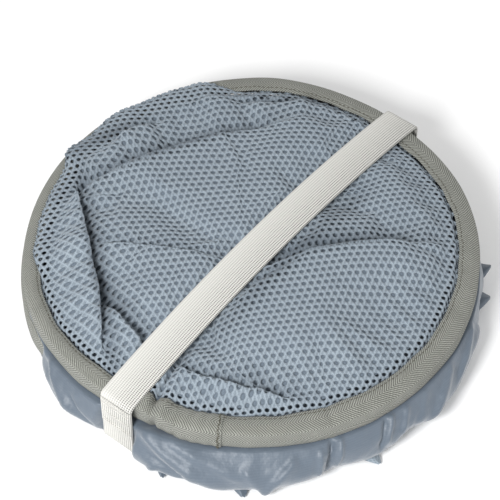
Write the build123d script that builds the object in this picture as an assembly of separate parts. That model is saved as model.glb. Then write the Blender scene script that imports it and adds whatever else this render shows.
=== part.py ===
from build123d import *
import math
import os

# Folding crab trap, folded flat and held shut by its elastic band.
# Millimetres, +Z up. The base hoop lies on Z = 0 and the origin is the centre of the base.
# Three sprung-wire hoops are stacked: each wire runs in a tape binding, a mesh panel closes the
# base and the crown, and two rings of loose taffeta wall join the hoops and bulge out between them.

# ---- driving dimensions ----
HOOP_RADIUS = 150.0  # outside face of every binding
STACK_HEIGHT = 48.0  # base hoop's underside to top hoop's crest, folded
TAPE = 1.2  # binding tape thickness
BEND = 3.8  # outside radius where the tape wraps the wire
FLANGE = 13.0  # radial reach of the tape, from its outside face to its sewn inner edge
END_SKIRT = 16.0  # height of the tape on the top and base hoops
HOOP_GAP = 0.4  # clearance between stacked bindings
BASE_FLANGE = 2.8  # doubled tape under the base hoop
WIRE_D = 3.0  # sprung steel wire
WIRE_END_GAP = 2.0  # between the wire's two ends, inside the ferrule
FERRULE_D = 4.8
FERRULE_LENGTH = 14.0
LAP_LENGTH = 12.0  # where the tape's ends overlap
LAP = 0.8
STITCH = (3.4, 0.7, 0.4)  # along the hoop, across it, proud of the tape
STITCH_COUNT = 72
STITCH_RADIUS = 139.0
MESH_RADIUS = 141.0  # sewn edge of both mesh panels
CROWN_RISE = 13.0  # slack crown above the top hoop's crest
CROWN_THICKNESS = 2.5
BASE_MESH_THICKNESS = 1.2
WALL_INNER = 151.0
WALL_OUTER = 160.0  # folded taffeta bulges this far out
WALL_CLEARANCE = 0.3
SEAM_WIDTH = 8.0
SEAM_THICKNESS = 0.8
BAND_WIDTH = 25.0
BAND = 1.5
BAND_REACH = 152.95  # centre of the band's upright sides
BAND_FLOOR = 0.9  # centre of the band's lower run
BAND_CORNER = 4.0
BAND_CREST_CLEARANCE = 0.4  # between the crown and the band
BAND_LAP = (0.9, 24.0, 22.0)  # thickness, width and height of the sewn overlap
BAND_LAP_TOP = 44.0
BAR_TACK_COUNT = 4

# ---- placing round the hoop, degrees anticlockwise from +X ----
BAND_ANGLE = 51.5
BAND_ASIDE = -12.5  # the band runs this far to the front right of the hoops' middle, in mm
TAPE_JOIN_ANGLE = 262.0
WIRE_JOIN_ANGLE = 20.0
WALL_SEAM_ANGLE = 290.0

# ---- worked out from the above ----
FLANGE_INNER = HOOP_RADIUS - FLANGE
WIRE_RADIUS = HOOP_RADIUS - BEND
TOP_FACE = STACK_HEIGHT
TOP_EDGE = STACK_HEIGHT - END_SKIRT
MIDDLE_FACE = TOP_EDGE - HOOP_GAP
MIDDLE_EDGE = END_SKIRT + HOOP_GAP
BAND_CLEARANCE = 0.25
NOTCH_DEPTH = BAND_FLOOR + BAND / 2 + BAND_CLEARANCE
PINCH_HALF_WIDTH = BAND_WIDTH / 2 + 1.0
BELOW = -1.0  # a cutting block starts this far under the base


def ring(section, arc=360.0, start=0.0):
    """A section drawn in radius and height, swept about the hoop's axis."""
    return Rot(0, 0, start) * revolve(Plane.XZ * section, axis=Axis.Z, revolution_arc=arc)


def arc_degrees(length, radius):
    return math.degrees(length / radius)


def at_corner(sketch, radius, height):
    return sketch.vertices().sort_by_distance((radius, height, 0))[0]


def tape_section(face, edge, flange_thickness=TAPE, outset=0.0):
    """The tape's section: a flange at height face, bent over the wire into a skirt ending at edge.
    outset grows it outward, for a second layer of tape lying on the first."""
    inward = math.copysign(1.0, edge - face)
    outside = HOOP_RADIUS + outset
    top = face - inward * outset
    under = face + inward * flange_thickness
    sketch = make_face(
        Polyline(
            (FLANGE_INNER, top),
            (outside, top),
            (outside, edge),
            (HOOP_RADIUS - TAPE, edge),
            (HOOP_RADIUS - TAPE, under),
            (FLANGE_INNER, under),
            close=True,
        )
    )
    sketch = fillet(at_corner(sketch, outside, top), BEND + outset)
    return fillet(at_corner(sketch, HOOP_RADIUS - TAPE, under), BEND - TAPE)


def lap_section(face, edge):
    """A second layer of tape lying on the flange and down the skirt."""
    return tape_section(face, edge, outset=LAP) - tape_section(face, edge)


def tape_lap(section):
    arc = arc_degrees(LAP_LENGTH, HOOP_RADIUS)
    return ring(section, arc, TAPE_JOIN_ANGLE - arc / 2)


def hoop_wire(height):
    gap = arc_degrees(WIRE_END_GAP, WIRE_RADIUS)
    section = Pos(WIRE_RADIUS, height) * Circle(WIRE_D / 2)
    return ring(section, 360.0 - gap, WIRE_JOIN_ANGLE + gap / 2)


def ferrule(height):
    arc = arc_degrees(FERRULE_LENGTH, WIRE_RADIUS)
    section = Pos(WIRE_RADIUS, height) * (Circle(FERRULE_D / 2) - Circle(WIRE_D / 2))
    return ring(section, arc, WIRE_JOIN_ANGLE - arc / 2)


def stitching(height):
    """A ring of separate stitches lying on a flat face at height."""
    length, width, proud = STITCH
    stitch = Pos(STITCH_RADIUS, 0, height + proud / 2) * Box(width, length, proud)
    angles = [(i + 0.5) * 360.0 / STITCH_COUNT for i in range(STITCH_COUNT)]
    clear_of_lap = arc_degrees(LAP_LENGTH / 2 + length, STITCH_RADIUS)
    return Compound(
        children=[Rot(0, 0, a) * stitch for a in angles if abs(a - TAPE_JOIN_ANGLE) > clear_of_lap]
    )


def on_band(shape):
    """Turns a shape drawn along X to lie along the band."""
    return Rot(0, 0, BAND_ANGLE) * Pos(0, BAND_ASIDE, 0) * shape


def across_band(near, far, half_width, low, high):
    """A block at each end of the band, from near to far out along it."""
    block = Box(far - near, 2 * half_width, high - low)
    middle, height = (near + far) / 2, (low + high) / 2
    return [on_band(Pos(end * middle, 0, height) * block) for end in (1, -1)]


def base_binding():
    binding = ring(tape_section(0.0, END_SKIRT, flange_thickness=BASE_FLANGE))
    near = FLANGE_INNER - FLANGE
    far = HOOP_RADIUS + FLANGE
    for notch in across_band(near, far, PINCH_HALF_WIDTH, BELOW, NOTCH_DEPTH):
        binding -= notch
    return binding


def crown_mesh():
    """The slack crown: a thin dome whose flat rim lies under the top binding's flange."""
    rim_top = TOP_FACE - TAPE
    rim_under = rim_top - CROWN_THICKNESS
    dome_edge = FLANGE_INNER - 0.5
    apex = TOP_FACE + CROWN_RISE
    outline = [
        dome_arc(dome_edge, rim_top, apex),
        Polyline((dome_edge, rim_top), (MESH_RADIUS, rim_top), (MESH_RADIUS, rim_under)),
        Line((MESH_RADIUS, rim_under), (dome_edge, rim_under)),
        dome_arc(dome_edge, rim_under, apex - CROWN_THICKNESS),
        Line((0, apex - CROWN_THICKNESS), (0, apex)),
    ]
    return ring(make_face(Curve(outline)))


def dome_arc(edge_radius, edge_height, apex_height):
    """Half of a shallow circular arch, from its crest on the axis out to its edge."""
    rise = apex_height - edge_height
    arch = (edge_radius**2 + rise**2) / (2 * rise)
    middle = edge_radius / 2
    sag = arch - math.sqrt(arch**2 - middle**2)
    return ThreePointArc((0, apex_height), (middle, apex_height - sag), (edge_radius, edge_height))


def wall_section(low, high, outset=0.0):
    """Folded wall: flat where it lies against the hoops, bulging outward."""
    inner = WALL_INNER + outset
    bulge = ThreePointArc((inner, low), (WALL_OUTER + outset, (low + high) / 2), (inner, high))
    return make_face(Curve([bulge, Line((inner, high), (inner, low))]))


def wall(low, high):
    """One tier of wall, pinched in where the band crosses it and runs under it."""
    solid = ring(wall_section(low, high))
    web = BAND_REACH - BAND / 2 - WALL_CLEARANCE
    beyond = 2 * HOOP_RADIUS
    corner_top = BAND_FLOOR + BAND_CORNER + WALL_CLEARANCE
    pinches = across_band(web, beyond, PINCH_HALF_WIDTH, BELOW, STACK_HEIGHT)
    pinches += across_band(FLANGE_INNER, beyond, PINCH_HALF_WIDTH, BELOW, corner_top)
    for pinch in pinches:
        solid -= pinch
    return solid


def wall_seam(low, high):
    """The overlapped strip where the wall's two ends are sewn together."""
    arc = arc_degrees(SEAM_WIDTH, WALL_OUTER)
    strip = wall_section(low, high, outset=SEAM_THICKNESS) - wall_section(low, high)
    return ring(strip, arc, WALL_SEAM_ANGLE - arc / 2)


def band_outline(inset):
    """The band's loop seen from its edge, shrunk by inset all round."""
    reach = BAND_REACH - inset
    floor = BAND_FLOOR + inset
    crest = TOP_FACE + CROWN_RISE + BAND_CREST_CLEARANCE + BAND / 2 - inset
    shoulder = TOP_FACE + BAND_FLOOR - inset
    sides = Polyline((-reach, shoulder), (-reach, floor), (reach, floor), (reach, shoulder))
    over = ThreePointArc((reach, shoulder), (0, crest), (-reach, shoulder))
    loop = make_face(Curve([sides, over]))
    return fillet(loop.vertices(), BAND_CORNER - inset)


def retaining_band():
    loop = band_outline(-BAND / 2) - band_outline(BAND / 2)
    return on_band(extrude(Plane.XZ * loop, BAND_WIDTH / 2, both=True))


def band_lap():
    """The elastic's sewn overlap, on the outside of its front-left upright."""
    thickness, width, height = BAND_LAP
    out = BAND_REACH + BAND / 2
    block = Pos(-out - thickness / 2, 0, BAND_LAP_TOP - height / 2) * Box(thickness, width, height)
    return on_band(block)


def bar_tacks():
    """Rows of dense stitching across the overlap."""
    thickness, width, height = BAND_LAP
    proud = STITCH[2]
    out = BAND_REACH + BAND / 2 + thickness + proud / 2
    pitch = height / BAR_TACK_COUNT
    tack = Box(proud, width * 0.8, STITCH[1])
    rows = [
        Pos(-out, 0, BAND_LAP_TOP - (i + 0.5) * pitch) * tack for i in range(BAR_TACK_COUNT)
    ]
    return Compound(children=[on_band(row) for row in rows])


def hoop_parts(name, face, edge, flange_thickness=TAPE):
    """The steel pieces that every hoop has."""
    inward = math.copysign(1.0, edge - face)
    wire_height = face + inward * (flange_thickness + BEND - TAPE)
    return {
        f"{name}_hoop_wire": hoop_wire(wire_height),
        f"{name}_wire_ferrule": ferrule(wire_height),
    }


def build():
    lower = (1.0, MIDDLE_EDGE - 0.2)
    upper = (MIDDLE_EDGE + 0.6, TOP_EDGE - 0.2)
    nodes = {}
    nodes.update(hoop_parts("base", 0.0, END_SKIRT, BASE_FLANGE))
    nodes.update(hoop_parts("middle", MIDDLE_FACE, MIDDLE_EDGE))
    nodes.update(hoop_parts("top", TOP_FACE, TOP_EDGE))
    nodes["base_binding"] = base_binding()
    nodes["middle_binding"] = ring(tape_section(MIDDLE_FACE, MIDDLE_EDGE))
    nodes["top_binding"] = ring(tape_section(TOP_FACE, TOP_EDGE))
    nodes["base_binding_lap"] = tape_lap(
        Pos(HOOP_RADIUS + LAP / 2, (BEND + END_SKIRT) / 2) * Rectangle(LAP, END_SKIRT - BEND)
    )
    nodes["middle_binding_lap"] = tape_lap(lap_section(MIDDLE_FACE, MIDDLE_EDGE))
    nodes["top_binding_lap"] = tape_lap(lap_section(TOP_FACE, TOP_EDGE))
    nodes["base_mesh"] = Pos(0, 0, BASE_FLANGE + BASE_MESH_THICKNESS / 2) * Cylinder(
        MESH_RADIUS, BASE_MESH_THICKNESS
    )
    nodes["crown_mesh"] = crown_mesh()
    nodes["base_stitching"] = stitching(BASE_FLANGE + BASE_MESH_THICKNESS)
    nodes["middle_stitching"] = stitching(MIDDLE_FACE)
    nodes["top_stitching"] = stitching(TOP_FACE)
    nodes["lower_wall"] = wall(*lower)
    nodes["upper_wall"] = wall(*upper)
    nodes["lower_wall_seam"] = wall_seam(*lower)
    nodes["upper_wall_seam"] = wall_seam(*upper)
    nodes["retaining_band"] = retaining_band()
    nodes["band_lap"] = band_lap()
    nodes["band_bar_tacks"] = bar_tacks()
    return nodes


def main():
    os.makedirs("parts", exist_ok=True)
    for name, shape in build().items():
        export_step(shape, f"parts/{name}.step")


main()
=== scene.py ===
import math

import bmesh
import bpy
import numpy as np
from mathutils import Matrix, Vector


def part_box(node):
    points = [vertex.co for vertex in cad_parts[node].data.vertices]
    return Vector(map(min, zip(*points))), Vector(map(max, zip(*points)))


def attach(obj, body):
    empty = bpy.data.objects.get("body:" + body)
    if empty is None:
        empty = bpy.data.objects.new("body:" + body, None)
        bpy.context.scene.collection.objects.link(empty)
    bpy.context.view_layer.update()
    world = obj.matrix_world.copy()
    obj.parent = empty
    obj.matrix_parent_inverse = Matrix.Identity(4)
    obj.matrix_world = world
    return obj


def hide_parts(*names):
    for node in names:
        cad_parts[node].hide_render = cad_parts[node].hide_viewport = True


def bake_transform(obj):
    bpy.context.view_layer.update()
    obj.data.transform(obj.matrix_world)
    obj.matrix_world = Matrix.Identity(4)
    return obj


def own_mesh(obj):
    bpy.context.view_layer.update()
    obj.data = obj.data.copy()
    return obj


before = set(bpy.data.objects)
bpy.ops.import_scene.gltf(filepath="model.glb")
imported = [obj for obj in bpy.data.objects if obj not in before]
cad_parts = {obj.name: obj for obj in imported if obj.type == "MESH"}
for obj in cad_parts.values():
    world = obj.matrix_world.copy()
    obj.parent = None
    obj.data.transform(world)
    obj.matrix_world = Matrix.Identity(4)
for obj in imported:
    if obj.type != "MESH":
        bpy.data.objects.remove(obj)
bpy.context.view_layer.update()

# A folded crab trap: three taped hoops in a stack, a slack crown of hole mesh, two tiers of loose
# taffeta wall that bulge out between the hoops, and an elastic band round it all.
# Shapes are worked out in millimetres, in the CAD model's frame, and new_piece() makes them metres.

MM = 0.001
TAU = 2 * math.pi


def node_box_mm(node):
    low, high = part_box(node)
    return np.array(low) / MM, np.array(high) / MM


TOP_LOW, TOP_HIGH = node_box_mm("top_binding")
MIDDLE_LOW, MIDDLE_HIGH = node_box_mm("middle_binding")
BASE_HIGH = node_box_mm("base_binding")[1]
CROWN_HIGH = node_box_mm("crown_mesh")[1]

HOOP_RADIUS = TOP_HIGH[0]
TOP = TOP_HIGH[2]
CROWN_RISE = CROWN_HIGH[2] - TOP
TAPE_REACH = 13.0  # from its sewn inner edge to the hoop's outside
TAPE_INNER = HOOP_RADIUS - TAPE_REACH
TAPE_THICKNESS = 1.2
TAPE_BEND = 3.8
BAND_ANGLE = math.radians(51.5)
BAND_ASIDE = -12.5
BAND_WIDTH = 25.0
BAND_THICKNESS = 1.5
BAND_REACH = 152.95  # from the trap's middle to the centre line of each upright
BAND_FLOOR = 0.9  # the height of the centre line of its lower run
BAND_RIBS = 1.67  # pitch of the elastic's ribs
TAPE_JOIN_DEGREES = 262.0
HOLE_PITCH = 5.3
HOLE_ROW = HOLE_PITCH * math.sqrt(3) / 2  # between rows of the mesh's holes


# ---------------------------------------------------------------- small tools


def smoothstep(low, high, x):
    t = np.clip((x - low) / (high - low), 0.0, 1.0)
    return t * t * (3.0 - 2.0 * t)


def angle_from(angle, centre):
    """Signed angle from centre, in -pi to pi."""
    return (angle - centre + math.pi) % TAU - math.pi


def bump_at(angle, centre_degrees, half_width_degrees):
    """A smooth hill of height 1 round the hoop."""
    away = angle_from(angle, math.radians(centre_degrees)) / math.radians(half_width_degrees)
    return np.exp(-(away**2))


def sector(angle, start_degrees, end_degrees, soft_degrees):
    """1 between two angles, falling to 0 over soft_degrees outside them."""
    middle = (start_degrees + end_degrees) / 2
    half = (end_degrees - start_degrees) / 2
    away = np.abs(np.degrees(angle_from(angle, math.radians(middle))))
    return 1.0 - smoothstep(half, half + soft_degrees, away)


def waves(angle, seed, counts, size):
    """Smooth, seeded unevenness round the hoop."""
    rng = np.random.default_rng(seed)
    total = np.zeros_like(angle)
    for count in counts:
        total += rng.uniform(0.5, 1.0) * np.sin(count * angle + rng.uniform(0, TAU))
    return size * total / math.sqrt(len(counts))


def along_band(x, y):
    """How far places are along the band, and aside of its middle line."""
    c, s = math.cos(BAND_ANGLE), math.sin(BAND_ANGLE)
    return x * c + y * s, -x * s + y * c - BAND_ASIDE


def band_height(along):
    """The height of the band's centre where it runs over the crown."""
    edge, crest = TOP + 1.6, TOP + CROWN_RISE + 2.6
    return edge + (crest - edge) * (1 - (along / BAND_REACH) ** 2)


def on_band(along, aside, height):
    """Places along the band, aside of its middle line, and up."""
    c, s = math.cos(BAND_ANGLE), math.sin(BAND_ANGLE)
    aside = aside + BAND_ASIDE
    return np.stack(np.broadcast_arrays(along * c - aside * s, along * s + aside * c, height), axis=-1)


def new_piece(name, points, quads, uv=None, smooth=True):
    """A mesh from points in millimetres and quads, with uv in millimetres of cloth."""
    mesh = bpy.data.meshes.new(name)
    points = np.asarray(points, float).reshape(-1, 3)
    quads = np.asarray(quads, np.int32)
    mesh.vertices.add(len(points))
    mesh.vertices.foreach_set("co", (points * MM).astype(np.float32).ravel())
    mesh.loops.add(quads.size)
    mesh.loops.foreach_set("vertex_index", quads.ravel())
    mesh.polygons.add(len(quads))
    mesh.polygons.foreach_set("loop_start", np.arange(0, quads.size, 4, dtype=np.int32))
    mesh.polygons.foreach_set("use_smooth", np.full(len(quads), smooth))
    if uv is not None:
        layer = mesh.uv_layers.new(name="cloth")
        layer.data.foreach_set("uv", uv.reshape(-1, 2).astype(np.float32)[quads.ravel()].ravel())
    mesh.update(calc_edges=True)
    mesh.validate()
    piece = bpy.data.objects.new(name, mesh)
    bpy.context.scene.collection.objects.link(piece)
    return piece


def pairs(first, second):
    """Two arrays side by side, as uv or as places on a plane."""
    return np.stack(np.broadcast_arrays(first, second), axis=-1)


def grid_quads(rows, columns, wrap_rows=False, wrap_columns=False):
    """Quads of a grid of points stored row by row."""
    r = np.arange(rows if wrap_rows else rows - 1)
    c = np.arange(columns if wrap_columns else columns - 1)
    r, c = np.meshgrid(r, c, indexing="ij")
    next_r, next_c = (r + 1) % rows, (c + 1) % columns
    corners = [r * columns + c, next_r * columns + c, next_r * columns + next_c, r * columns + next_c]
    return np.stack([k.ravel() for k in corners], axis=1)


def join_parts(parts):
    """Several (points, quads, uv) made into one."""
    points, quads, uvs, offset = [], [], [], 0
    for part_points, part_quads, part_uv in parts:
        points.append(part_points)
        quads.append(part_quads + offset)
        uvs.append(part_uv)
        offset += len(part_points)
    return np.concatenate(points), np.concatenate(quads), np.concatenate(uvs)


def polar(radius, angle, height):
    return np.stack([radius * np.cos(angle), radius * np.sin(angle), height], axis=-1)


def lengths_along(points):
    steps = np.linalg.norm(np.diff(points, axis=0), axis=1)
    return np.concatenate([[0.0], np.cumsum(steps)])


def resample(points, count):
    """The same line with count evenly spaced points."""
    along = lengths_along(points)
    even = np.linspace(0.0, along[-1], count)
    return np.stack([np.interp(even, along, points[:, k]) for k in range(points.shape[1])], axis=1)


def rounded_line(corners, radii, step=0.5):
    """A line through 2-D corners, each rounded by an arc of its own radius."""
    corners = [np.array(c, float) for c in corners]
    line = [corners[0]]
    for before, corner, after, radius in zip(corners, corners[1:], corners[2:], radii):
        to_before = (before - corner) / np.linalg.norm(before - corner)
        to_after = (after - corner) / np.linalg.norm(after - corner)
        half = math.acos(np.clip(to_before @ to_after, -1, 1)) / 2
        if math.cos(half) < 0.01:
            line.append(corner)
            continue
        reach = radius / math.tan(half)
        bisector = (to_before + to_after) / np.linalg.norm(to_before + to_after)
        centre = corner + bisector * radius / math.sin(half)
        first = corner + to_before * reach - centre
        last = corner + to_after * reach - centre
        turn = math.atan2(first[0] * last[1] - first[1] * last[0], first @ last)
        for t in np.linspace(0, 1, max(4, int(abs(turn) * radius / step))):
            c, s = math.cos(turn * t), math.sin(turn * t)
            line.append(centre + np.array([c * first[0] - s * first[1], s * first[0] + c * first[1]]))
    line.append(corners[-1])
    return np.array(line)


def normals_2d(line):
    """Unit normals, to the left of the line's direction."""
    tangent = np.gradient(line, axis=0)
    tangent /= np.linalg.norm(tangent, axis=1)[:, None]
    return np.stack([-tangent[:, 1], tangent[:, 0]], axis=1)


# ---------------------------------------------------------------- materials


class Shader:
    """One node material. Each method adds a node and returns its output."""

    def __init__(self, name):
        self.material = bpy.data.materials.new(name)
        self.material.use_nodes = True
        self.tree = self.material.node_tree
        self.surface = self.tree.nodes["Principled BSDF"]

    def feed(self, socket, value):
        if isinstance(value, bpy.types.NodeSocket):
            self.tree.links.new(value, socket)
        else:
            socket.default_value = value

    def node(self, kind, inputs, **settings):
        made = self.tree.nodes.new(kind)
        for key, value in settings.items():
            setattr(made, key, value)
        for key, value in inputs.items():
            self.feed(made.inputs[key], value)
        return made

    def math(self, operation, *values):
        return self.node("ShaderNodeMath", dict(enumerate(values)), operation=operation).outputs[0]

    def cloth(self):
        """Millimetres along and across the cloth."""
        uv = self.node("ShaderNodeUVMap", {}, uv_map="cloth").outputs[0]
        split = self.node("ShaderNodeSeparateXYZ", {0: uv})
        return split.outputs[0], split.outputs[1]

    def depth(self):
        """How deep in a fold's valley the cloth lies, from 0 to 1; the mesh uses it to paint shade into its
        valleys.
        """
        return self.node("ShaderNodeAttribute", {}, attribute_name="depth").outputs["Fac"]

    def place(self):
        """Where the point lies on the object, in metres."""
        return self.node("ShaderNodeTexCoord", {}).outputs["Object"]

    def noise(self, per_metre, detail=3.0, roughness=0.55):
        inputs = {"Vector": self.place(), "Scale": per_metre, "Detail": detail, "Roughness": roughness}
        return self.node("ShaderNodeTexNoise", inputs).outputs["Fac"]

    def ridges(self, distance, pitch):
        """0 to 1 and back over each pitch."""
        wave = self.math("SINE", self.math("MULTIPLY", distance, TAU / pitch))
        return self.math("MULTIPLY_ADD", wave, 0.5, 0.5)

    def mix(self, amount, first, second):
        made = self.node("ShaderNodeMix", {}, data_type="RGBA")
        self.feed(made.inputs["Factor"], amount)
        self.feed(made.inputs[6], first)
        self.feed(made.inputs[7], second)
        return made.outputs[2]

    def bump(self, height, depth_mm, strength=1.0):
        inputs = {"Height": height, "Distance": depth_mm * MM, "Strength": strength}
        return self.node("ShaderNodeBump", inputs).outputs[0]

    def finish(self, colour, normal=None, roughness=0.8, sheen=0.0, specular=0.5, metallic=0.0):
        self.feed(self.surface.inputs["Base Color"], colour)
        self.feed(self.surface.inputs["Roughness"], roughness)
        self.surface.inputs["Sheen Weight"].default_value = sheen
        self.surface.inputs["Specular IOR Level"].default_value = specular
        self.surface.inputs["Metallic"].default_value = metallic
        if normal is not None:
            self.feed(self.surface.inputs["Normal"], normal)
        return self.material


def tone(red, green, blue):
    """A linear colour from the 0 to 255 tones that a screen shows."""
    def linear(v):
        v /= 255.0
        return v / 12.92 if v <= 0.04045 else ((v + 0.055) / 1.055) ** 2.4
    return (linear(red), linear(green), linear(blue), 1.0)


def tape_material():
    """Olive-grey herringbone twill."""
    shader = Shader("binding_tape")
    along, across = shader.cloth()
    zigzag = shader.math("PINGPONG", across, 7.2)
    uneven = shader.math("MULTIPLY", shader.noise(220.0), 1.4)
    twill = shader.ridges(shader.math("ADD", shader.math("ADD", along, zigzag), uneven), 1.9)
    weft = shader.ridges(shader.math("MULTIPLY_ADD", zigzag, -0.6, along), 1.15)
    weave = shader.math("MULTIPLY_ADD", weft, 0.3, shader.math("MULTIPLY", twill, 0.7))
    patches = shader.noise(90.0)
    dark = shader.mix(patches, tone(56, 57, 53), tone(74, 75, 70))
    light = shader.mix(patches, tone(160, 162, 154), tone(180, 181, 173))
    colour = shader.mix(weave, dark, light)
    return shader.finish(colour, shader.bump(weave, 0.6), roughness=0.85, sheen=0.1, specular=0.2)


def hole_mesh_material():
    """Blue-grey warp-knitted mesh, with a fine looped yarn, and painted shade in its fold valleys."""
    shader = Shader("air_mesh")
    along, across = shader.cloth()
    courses = []
    for lean in (0.5, -0.5):
        along_part = shader.math("MULTIPLY_ADD", along, math.sqrt(3) / 2, HOLE_ROW / 8)
        slanted = shader.math("MULTIPLY_ADD", across, lean, along_part)
        courses.append(shader.math("POWER", shader.ridges(slanted, HOLE_ROW / 2), 4.0))
    loops = shader.math("MAXIMUM", *courses)
    faint_loops = shader.math("MULTIPLY", loops, 0.34)
    yarn = shader.math("MULTIPLY_ADD", shader.noise(1300.0, detail=3.0), 0.85, faint_loops)
    patches = shader.noise(60.0)
    dark = shader.mix(patches, tone(80, 90, 99), tone(90, 100, 108))
    light = shader.mix(patches, tone(149, 161, 172), tone(163, 174, 183))
    colour = shader.mix(yarn, dark, light)
    # Painted shade: the colour darkens towards a dark blue-grey in the folds' valleys and in the dip beside
    # the band, by the stored depth.
    colour = shader.mix(shader.math("MULTIPLY", shader.depth(), 0.62), colour, tone(62, 70, 79))
    return shader.finish(colour, shader.bump(yarn, 0.3), roughness=0.85, sheen=0.2, specular=0.2)


def mesh_backing_material():
    shader = Shader("air_mesh_backing")
    fibre = shader.noise(1800.0, detail=2.0)
    colour = shader.mix(fibre, tone(82, 92, 102), tone(124, 135, 146))
    return shader.finish(colour, shader.bump(fibre, 0.3), roughness=0.95, specular=0.1)


def taffeta_material():
    """Blue-grey plain-weave taffeta with a satin sheen."""
    shader = Shader("taffeta")
    along, across = shader.cloth()
    threads = shader.math(
        "ADD",
        shader.math("MULTIPLY", shader.ridges(along, 0.7), 0.5),
        shader.math("MULTIPLY", shader.ridges(across, 0.7), 0.5),
    )
    crumple = shader.noise(130.0, detail=4.0, roughness=0.55)
    patches = shader.noise(45.0)
    base = shader.mix(patches, tone(78, 89, 101), tone(88, 99, 111))
    colour = shader.mix(shader.math("MULTIPLY", threads, 0.16), base, tone(122, 133, 144))
    height = shader.math("MULTIPLY_ADD", threads, 0.015, crumple)
    normal = shader.bump(height, 1.5, 0.6)
    return shader.finish(colour, normal, roughness=0.46, sheen=0.35, specular=0.5)


def elastic_material():
    """Off-white woven elastic: rows of small dark slots between its ribs."""
    shader = Shader("elastic")
    along, across = shader.cloth()
    rib = shader.ridges(across, BAND_RIBS)
    pick = shader.ridges(along, 1.25)
    slot = shader.math("MULTIPLY", shader.math("POWER", rib, 1.3), shader.math("POWER", pick, 1.2))
    strong_side = shader.math("MULTIPLY_ADD", across, -0.045, 1.35)
    uneven = shader.math("MULTIPLY_ADD", shader.noise(500.0), 0.7, 0.6)
    slot = shader.math("MULTIPLY", slot, shader.math("MULTIPLY", uneven, strong_side))
    groove = shader.math("MULTIPLY", shader.math("POWER", rib, 1.2), 0.2)
    slot = shader.math("MAXIMUM", slot, groove)
    colour = shader.mix(slot, tone(206, 205, 200), tone(36, 36, 34))
    height = shader.math("SUBTRACT", shader.math("MULTIPLY", pick, 0.3), slot)
    return shader.finish(colour, shader.bump(height, 0.35), roughness=0.78, sheen=0.1, specular=0.2)


def thread_material(name, dark, light):
    shader = Shader(name)
    twist = shader.noise(3000.0, detail=1.0)
    colour = shader.mix(twist, tone(*dark), tone(*light))
    return shader.finish(colour, shader.bump(twist, 0.1), roughness=0.6, specular=0.4)


def metal_material(name, dull, bright, roughness, per_metre):
    shader = Shader(name)
    drawn = shader.noise(per_metre, detail=4.0)
    colour = shader.mix(drawn, dull, bright)
    uneven = shader.math("MULTIPLY_ADD", drawn, 0.2, roughness - 0.1)
    return shader.finish(colour, shader.bump(drawn, 0.02), roughness=uneven, metallic=1.0)


def floor_material():
    shader = Shader("floor")
    return shader.finish(tone(250, 250, 250), roughness=0.9, specular=0.1)


# ---------------------------------------------------------------- tape bindings


def tape_profile(face, edge, plump=0.0, count=40):
    """The tape's outside, from its sewn inner edge over the wire to its skirt's edge."""
    down = math.copysign(1.0, edge - face)
    corners = [
        (TAPE_INNER, face + 0.5 * plump * down),
        (TAPE_INNER + 4.0, face - 0.5 * plump * down),
        (HOOP_RADIUS - 4.4, face - 0.2 * plump * down),
        (HOOP_RADIUS + 0.8 * plump, face + 1.2 * plump * down),
        (HOOP_RADIUS + 1.0 * plump, edge - 4.0 * down),
        (HOOP_RADIUS + 0.2 * plump, edge),
    ]
    return resample(rounded_line(corners, [6.0, 3.0, TAPE_BEND - 1.6 * plump, 10.0]), count)


class Tape:
    """One hoop's binding. shape(angle, share) gives how far each point moves out and up, where
    share is 0 at the sewn inner edge and 1 at the skirt's edge."""

    def __init__(self, face, edge, shape, plump=0.0):
        self.profile = tape_profile(face, edge, plump)
        self.along = lengths_along(self.profile)
        self.width = self.along[-1]
        self.facing = 1.0 if face > edge else -1.0
        self.normal = normals_2d(self.profile) * self.facing
        self.shape = shape

    def surface(self, angle, across, lift=0.0):
        """Points on the tape's face, lifted off it."""
        radius, height = [np.interp(across, self.along, self.profile[:, k]) for k in (0, 1)]
        out_from, up_from = [np.interp(across, self.along, self.normal[:, k]) for k in (0, 1)]
        out, up = self.shape(angle, across / self.width)
        return polar(radius + out + lift * out_from, angle + 0 * across, height + up + lift * up_from)


def tape_band(name, tape, thickness, start, end, lift, segments, across_range=(0.0, 1.0)):
    """Part of a binding, from one angle to another: a closed strip of the tape's thickness."""
    angle = np.linspace(start, end, segments + 1)[:, None]
    across = np.linspace(*across_range, len(tape.along))[None, :] * tape.width
    outside = tape.surface(angle, across, lift)
    inside = tape.surface(angle, across, lift - thickness)[:, ::-1]
    points = np.concatenate([outside, inside], axis=1)
    across = np.concatenate([across, across[:, ::-1]], axis=1)
    uv = pairs(angle * HOOP_RADIUS, across)
    quads = grid_quads(segments + 1, points.shape[1], wrap_columns=True)
    if tape.facing > 0:
        quads = quads[:, ::-1]
    return new_piece(name, points, quads, uv)


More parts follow.
